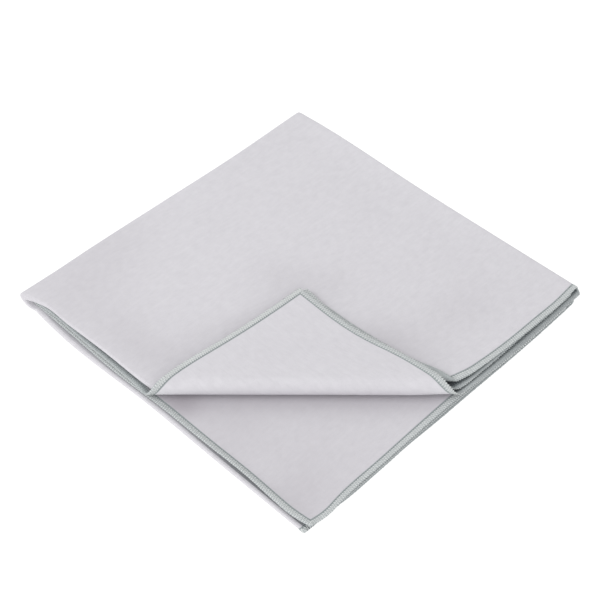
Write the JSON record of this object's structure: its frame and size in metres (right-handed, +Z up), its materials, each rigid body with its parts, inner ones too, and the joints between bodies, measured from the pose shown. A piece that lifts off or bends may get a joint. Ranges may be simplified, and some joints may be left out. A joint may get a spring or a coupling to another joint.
{
  "type": "folded camping towel",
  "caption": "Thin square-folded microfibre travel towel with overlocked edges, one corner of the upper layers turned back.",
  "frame": {"origin": "centre of the bounding box in plan, on the surface the towel lies on", "axes": "+Z up out of the stack of layers; +X and +Y along the sides of the folded square; the cut edges are on the -Y side, the crease of the fold in half on the +Y side, and the turned-back corner is at -X, -Y"},
  "size_m": [0.3086, 0.3082, 0.0239],
  "materials": {
    "microfibre": "soft brushed matt, pale lilac grey",
    "edging": "matt overlock thread, pale grey green"
  },
  "bodies": {
    "root": {"towel": "microfibre"}
  },
  "joints": []
}
